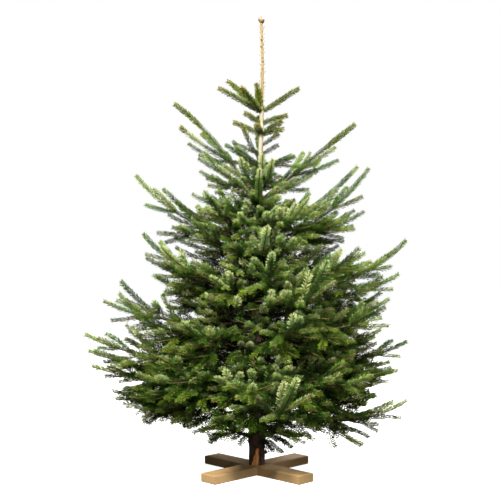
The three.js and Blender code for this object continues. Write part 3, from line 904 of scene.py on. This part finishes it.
def needle_object(sizes):
    """One needle along Y, four faces, the two under it marked."""
    half, top = sizes.needle_width / 2, sizes.needle_thickness / 2
    tip = sizes.needle_length
    widest = tip * 0.78
    vertices = [(0, 0, top), (0, tip, top), (-half, widest, -top), (half, widest, -top)]
    faces = [(0, 3, 1), (0, 1, 2), (0, 2, 3), (1, 3, 2)]
    mesh = bpy.data.meshes.new("needle")
    mesh.from_pydata(vertices, [], faces)
    under = mesh.attributes.new("under", "BOOLEAN", "FACE")
    under.data.foreach_set("value", [False, False, True, True])
    return new_piece("needle", mesh)


def needle_tree():
    """Geometry Nodes that clothe curves in needles. A curve's radius sizes them and its tilt says how far
    round the shoot they stand, as an angle from its upper side."""
    tree = bpy.data.node_groups.new("clothe_in_needles", "GeometryNodeTree")
    for name, kind in (
        ("Geometry", "NodeSocketGeometry"),
        ("Shoots", "NodeSocketObject"),
        ("Needle", "NodeSocketObject"),
        ("Spacing", "NodeSocketFloat"),
        ("Upper angle", "NodeSocketFloat"),
        ("Side angle", "NodeSocketFloat"),
        ("Unevenness", "NodeSocketFloat"),
        ("Upper material", "NodeSocketMaterial"),
        ("Under material", "NodeSocketMaterial"),
    ):
        tree.interface.new_socket(name, in_out="INPUT", socket_type=kind)
    tree.interface.new_socket("Geometry", in_out="OUTPUT", socket_type="NodeSocketGeometry")
    graph = Graph(tree)

    def take(name):
        return graph.add("NodeGroupInput", output=name)

    shoots = graph.add("GeometryNodeObjectInfo", values={"Object": take("Shoots")}, output="Geometry")
    needle = graph.add("GeometryNodeObjectInfo", values={"Object": take("Needle")}, output="Geometry")
    spaced = graph.add("GeometryNodeResampleCurve", {"mode": "LENGTH"},
                       {"Curve": shoots, "Length": take("Spacing")}, "Curve")
    index = graph.add("GeometryNodeInputIndex")
    ahead = graph.add("GeometryNodeInputTangent")
    size = graph.add("GeometryNodeInputRadius")
    spread = graph.add("GeometryNodeInputCurveTilt")
    upright = graph.add("ShaderNodeCombineXYZ", values={"X": 0.03, "Y": 0.02, "Z": 1.0})
    right = ahead.cross(upright).normalized()
    over = right.cross(ahead)

    def random(seed, low, high):
        values = {2: low, 3: high, "Seed": seed}
        return graph.add("FunctionNodeRandomValue", {"data_type": "FLOAT"}, values, 1)

    uneven = take("Unevenness")
    turn = ((index * GOLDEN).fraction() * 2 - 1) * spread + random(1, -1.0, 1.0) * uneven
    outward = over * turn.cosine() + right * turn.sine()
    sideways = abs(turn.sine())
    lean = take("Upper angle") + (take("Side angle") - take("Upper angle")) * sideways
    lean = lean + random(2, -1.0, 1.0) * uneven
    way = ahead * lean.cosine() + outward * lean.sine()
    rise = graph.add("ShaderNodeSeparateXYZ", values={"Vector": ahead}, output="Z")
    steep = abs(rise).ramp(0.6, 0.9, 0.3, 1.0)
    face = over * (1 - steep) + outward * steep + right * random(4, -0.9, 0.9)
    rotation = graph.add("FunctionNodeAxesToRotation", {"primary_axis": "Y", "secondary_axis": "Z"},
                         {"Primary Axis": way, "Secondary Axis": face})
    scale = size * random(3, 0.86, 1.1)
    needles = graph.add("GeometryNodeInstanceOnPoints", values={
        "Points": spaced, "Instance": needle, "Rotation": rotation, "Scale": scale,
    })
    real = graph.add("GeometryNodeRealizeInstances", values={"Geometry": needles})
    given = {"Geometry": real, "Material": take("Upper material")}
    upper = graph.add("GeometryNodeSetMaterial", values=given)
    under = graph.add("GeometryNodeInputNamedAttribute", {"data_type": "BOOLEAN"}, {"Name": "under"})
    given = {"Geometry": upper, "Selection": under, "Material": take("Under material")}
    both = graph.add("GeometryNodeSetMaterial", values=given)
    graph.add("NodeGroupOutput", values={"Geometry": both})
    return tree


def grown_mesh(name, tree, inputs):
    """A plain mesh that a Geometry Nodes tree grows, as a piece."""
    host = new_piece(name, bpy.data.meshes.new(name + "_seed"))
    modifier = host.modifiers.new("grow", "NODES")
    modifier.node_group = tree
    identifiers = {item.name: item.identifier for item in tree.interface.items_tree if item.in_out == "INPUT"}
    for label, value in inputs.items():
        modifier[identifiers[label]] = value
    graph = bpy.context.evaluated_depsgraph_get()
    mesh = bpy.data.meshes.new_from_object(host.evaluated_get(graph))
    mesh.name = name
    host.modifiers.remove(modifier)
    host.data = mesh
    return host


def clothe(name, tree, needle, splines, spacing, angles, finishes):
    """A piece of the needles on some shoots."""
    shoots = curve_object(name + "_shoots", splines)
    upper, side, unevenness = (math.radians(angle) for angle in angles)
    piece = grown_mesh(name, tree, {
        "Shoots": shoots,
        "Needle": needle,
        "Spacing": spacing,
        "Upper angle": upper,
        "Side angle": side,
        "Unevenness": unevenness,
        "Upper material": finishes[0],
        "Under material": finishes[1],
    })
    bpy.data.objects.remove(shoots)
    return piece


class Spray:
    """A stretch of a stem whose needles share one tint, which paints light and shade on it."""

    def __init__(self, stem, start, end):
        self.stem, self.start, self.end = stem, start, end
        self.young = (start + end) / 2 > (stem.years - 1) / stem.years
        self.length = stem.length * (end - start)
        middle = stem.line.at((start + end) / 2)
        self.high = min(1, max(0, (middle.z - CROWN["from"]) / CROWN["height"]))
        self.out = math.hypot(middle.x, middle.y) / (CROWN["half"] - CROWN["narrowing"] * self.high)
        light = self.light(stem, middle)
        # The tint follows the painted light: the darker tints are painted shade, the lighter ones painted
        # light.
        self.tint = next(i for i, tint in enumerate(TINTS) if light < tint[3])
        if light:
            self.tint = max(1, self.tint)
        if middle.z > CROWN_FROM:
            self.growth = "close"
            self.tint = len(TINTS) - (1 if end == 1 else 2)
        elif light == 0:
            self.growth = "sparse"
        elif self.high > 0.55 or (self.young and stem.order == 0):
            self.growth = "dense"
        else:
            self.growth = "even" if self.young else "thin"

    def light(self, stem, middle):
        """How much light is painted into the stretch's tint, which is none inside the crown, where it is
        painted shade.
        """
        hidden = self.out < HIDDEN["out"] or (self.out < HIDDEN["old_out"] and not self.young)
        if hidden and HIDDEN["from"] < middle.z < HIDDEN["to"]:
            return 0
        chance = draw(stem.key * 1.7 + self.young) - 0.5
        light = LIGHT["all"] + LIGHT["out"] * min(LIGHT["most_out"], self.out) + LIGHT["high"] * self.high
        light += (LIGHT["chance"] - LIGHT["calm"] * self.high) * chance
        light += LIGHT["young"] if self.young else LIGHT["old"]
        if self.end == 1:
            light += LIGHT["tip"]
        if self.out > HIDDEN["old_out"]:
            light += LIGHT["rising"] * max(0, stem.line.ahead(self.start).z - LIGHT["level"])
        return light

    def spline(self):
        """Points of the stretch, each with its needles' size and how far round the shoot they stand."""
        line, years = self.stem.line, self.stem.years
        count = max(3, round(self.length / 0.028))
        points = []
        for i in range(count + 1):
            share = self.start + (self.end - self.start) * i / count
            size = SIZE["ends"] + SIZE["middle"] * math.sin(math.pi * ((share * years) % 1))
            size *= 1 - SIZE["high"] * self.high
            if self.growth == "close":
                size *= SIZE["close"]
            if share > 0.999:
                size *= SIZE["tip"]
            steep = min(1, max(0, (abs(line.ahead(share).z) - STEEP["from"]) / STEEP["over"]))
            spread = SPREAD[0] + SPREAD[1] * self.high
            points.append((line.at(share), size, math.radians(spread + (180 - spread) * steep)))
        return points


def sprays(stems):
    """Every needled stretch: last year's growth, and what is older where it still has its needles."""
    for stem in stems:
        start = max(0.03, stem.bare_years / stem.years)
        split = (stem.years - 1) / stem.years
        if split > start:
            yield Spray(stem, start, split)
        start = max(start, split)
        tip = 1 - min(0.5 * (1 - start), TIP_LENGTH / stem.length)
        yield Spray(stem, start, tip)
        yield Spray(stem, tip, 1)


def bud(root, way, length, shape):
    """A closed tube with a bud's outline."""
    outline, sides = shape
    points = [root + way * (length * place) for place, _ in outline]
    return tube(points, [radius * length for _, radius in outline], sides)


class CUTTREE_OT_buds(bpy.types.Operator):
    """Sets a bud on the tip of every shoot"""

    bl_idname = "cut_tree.buds"
    bl_label = "Buds"

    def execute(self, context):
        sizes = context.scene.cut_tree_sizes
        buds = []
        for stem in skeleton(sizes.shortest_twig):
            tip, ahead = stem.line.at(1), stem.line.ahead(1)
            length = sizes.bud_length * stray(stem.key + 0.9, 0.2)
            ways = [ahead]
            if tip.z > CLUSTERS_FROM:
                aside = ahead.cross(UP).normalized()
                ways += [(ahead + aside * 0.9).normalized(), (ahead - aside * 0.9).normalized()]
            buds += [bud(tip, way, length, BUD) for way in ways]
        piece = join_tubes("buds", buds + self.leader())
        scales = twig_material("bud_scales", context.scene.cut_tree_colours.bud, BUD_SHADE)
        piece.data.materials.append(scales)
        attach(piece, "root")
        return {"FINISHED"}

    def leader(self):
        """A cluster round the leader's tip, and a few buds down its length."""
        buds = []
        for i, height in enumerate(LEADER_BUDS):
            _, x, y = trunk_at(height)
            angle = 2 * math.pi * i * GOLDEN
            out = Vector((math.cos(angle), math.sin(angle), 1.1)).normalized()
            root = Vector((x, y, height)) * MM + UP * FOOT + out * 0.002
            buds.append(bud(root, out, 0.018 if height > TIP_BUDS_FROM else 0.011, LEADER_BUD))
        return buds


class CUTTREE_OT_needles(bpy.types.Operator):
    """Clothes every shoot in needles, in pieces of one tint and one closeness"""

    bl_idname = "cut_tree.needles"
    bl_label = "Needles"

    def execute(self, context):
        sizes = context.scene.cut_tree_sizes
        tree = needle_tree()
        needle = needle_object(sizes)
        groups = {}
        for spray in sprays(skeleton(sizes.shortest_twig)):
            groups.setdefault((spray.tint, spray.growth), []).append(spray)
        finishes = [self.finishes(*tint[:3]) for tint in TINTS]
        made = []
        for (tint, growth), group in sorted(groups.items()):
            spacing = sizes.needle_spacing * GROWTHS[growth]
            for number, batch in enumerate(self.batches(group, spacing), 1):
                name = f"needles_{TINTS[tint][0]}_{growth}_{number}"
                splines = [spray.spline() for spray in batch]
                made.append(clothe(name, tree, needle, splines, spacing, SHOOT_ANGLES, finishes[tint]))
        made.append(self.leader(tree, needle))
        bpy.data.objects.remove(needle)
        for piece in made:
            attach(piece, "root")
        kinds = ("foliage", "whorl", "twigs")
        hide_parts(*(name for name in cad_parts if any(kind in name for kind in kinds)))
        return {"FINISHED"}

    def finishes(self, name, upper, under):
        """A tint's finishes for the needles' two sides."""
        return (
            needle_material(f"needles_{name}", upper, 0.45, 0.25),
            needle_material(f"needles_{name}_under", under, 0.55, 0.15),
        )

    def leader(self, tree, needle):
        """The sparse short needles that lie along the leader."""
        points = []
        for height in range(LEADER_FROM + 6, TRUNK[-1][0], LEADER_NEEDLES["step"]):
            _, x, y = trunk_at(height)
            points.append((Vector((x, y, height)) * MM + UP * FOOT, LEADER_NEEDLES["size"], math.pi))
        material = needle_material("leader_needles", LEADER_NEEDLES["colour"], 0.5, 0.2)
        spacing = LEADER_NEEDLES["spacing"]
        return clothe("leader_needles", tree, needle, [points], spacing, LEADER_ANGLES, (material, material))

    def batches(self, group, spacing):
        """Sprays in lots that each carry no more needles than a piece may have."""
        batch, count = [], 0
        for spray in group:
            needles = spray.length / spacing + 2
            if count + needles > MOST_NEEDLES:
                yield batch
                batch, count = [], 0
            batch.append(spray)
            count += needles
        if batch:
            yield batch


class CUTTREE_OT_stand(bpy.types.Operator):
    """Finishes the cross of boards and its screw"""

    bl_idname = "cut_tree.stand"
    bl_label = "Stand"

    def execute(self, context):
        for name, turn in (("stand_lower_board", -45), ("stand_upper_board", 45)):
            self.dress(name, timber_material(name + "_timber", math.radians(turn)))
        self.dress("stand_screw", zinc_material())
        return {"FINISHED"}

    def dress(self, name, material):
        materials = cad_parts[name].data.materials
        materials.clear()
        materials.append(material)


class CUTTREE_OT_stage(bpy.types.Operator):
    """Makes the camera, the floor, the backdrop's light and the lamps"""

    bl_idname = "cut_tree.stage"
    bl_label = "Stage"

    def execute(self, context):
        self.camera(context)
        self.floor()
        self.world(context)
        for lamp in LAMPS:
            self.lamp(context, *lamp)
        return {"FINISHED"}

    def camera(self, context):
        data = bpy.data.cameras.new("camera")
        data.lens = CAMERA["lens"]
        data.shift_y = CAMERA["shift"]
        camera = bpy.data.objects.new("camera", data)
        context.scene.collection.objects.link(camera)
        camera.location = (CAMERA["x"], -CAMERA["away"], CAMERA["height"])
        camera.rotation_euler = (math.radians(90), 0, 0)
        context.scene.camera = camera

    def floor(self):
        """A wide floor, which throws none of its glow on the tree."""
        half = FLOOR["half"]
        corners = [Vector((half * x, half * y, 0)) for x, y in ((-1, -1), (1, -1), (1, 1), (-1, 1))]
        floor = join_tubes("floor", [(corners, [(0, 1, 2, 3)])])
        floor.data.materials.append(floor_material())
        floor.visible_diffuse = False
        floor.visible_glossy = False
        floor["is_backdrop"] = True

    def world(self, context):
        """A backdrop that is white to the camera and throws a faint light."""
        world = bpy.data.worlds.new("studio")
        world.use_nodes = True
        graph = Graph(world.node_tree)
        seen = graph.add("ShaderNodeLightPath", output="Is Camera Ray")
        background = world.node_tree.nodes["Background"]
        background.inputs["Color"].default_value = (1, 1, 1, 1)
        strength = seen.ramp(0.0, 1.0, BACKDROP["thrown"], BACKDROP["seen"])
        world.node_tree.links.new(strength.socket, background.inputs["Strength"])
        context.scene.world = world
        context.scene.view_settings.view_transform = "Standard"

    def lamp(self, context, name, place, size, watts):
        data = bpy.data.lights.new(name, "AREA")
        data.shape, data.size, data.energy = "DISK", size, watts
        data.color = LAMP_COLOUR
        lamp = bpy.data.objects.new(name, data)
        context.scene.collection.objects.link(lamp)
        lamp.location = place
        aim = Vector(LAMP_AIM) - Vector(place)
        lamp.rotation_euler = aim.to_track_quat("-Z", "Y").to_euler()



class CUTTREE_PT_panel(bpy.types.Panel):
    """The tree's makers, in order"""

    bl_idname = "CUTTREE_PT_panel"
    bl_label = "Cut tree"
    bl_space_type = "VIEW_3D"
    bl_region_type = "UI"
    bl_category = "Cut tree"

    def draw(self, context):
        for group in (context.scene.cut_tree_sizes, context.scene.cut_tree_colours):
            for name in group.__annotations__:
                self.layout.prop(group, name)
        for operator in OPERATORS:
            self.layout.operator(operator.bl_idname)


OPERATORS = (
    CUTTREE_OT_stage,
    CUTTREE_OT_trunk,
    CUTTREE_OT_boughs,
    CUTTREE_OT_buds,
    CUTTREE_OT_needles,
    CUTTREE_OT_stand,
)
CLASSES = (CutTreeSizes, CutTreeColours, *OPERATORS, CUTTREE_PT_panel)


def register():
    for each in CLASSES:
        bpy.utils.register_class(each)
    bpy.types.Scene.cut_tree_sizes = bpy.props.PointerProperty(type=CutTreeSizes)
    bpy.types.Scene.cut_tree_colours = bpy.props.PointerProperty(type=CutTreeColours)


def unregister():
    del bpy.types.Scene.cut_tree_colours
    del bpy.types.Scene.cut_tree_sizes
    for each in reversed(CLASSES):
        bpy.utils.unregister_class(each)


def main():
    register()
    bpy.ops.cut_tree.stage()
    bpy.ops.cut_tree.trunk()
    bpy.ops.cut_tree.boughs()
    bpy.ops.cut_tree.buds()
    bpy.ops.cut_tree.needles()
    bpy.ops.cut_tree.stand()
    boxes = {"cad": CAD_BOX, "visual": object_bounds()}
    lists = {name: [list(map(float, corner)) for corner in box] for name, box in boxes.items()}


if __name__ == "__main__":
    main()
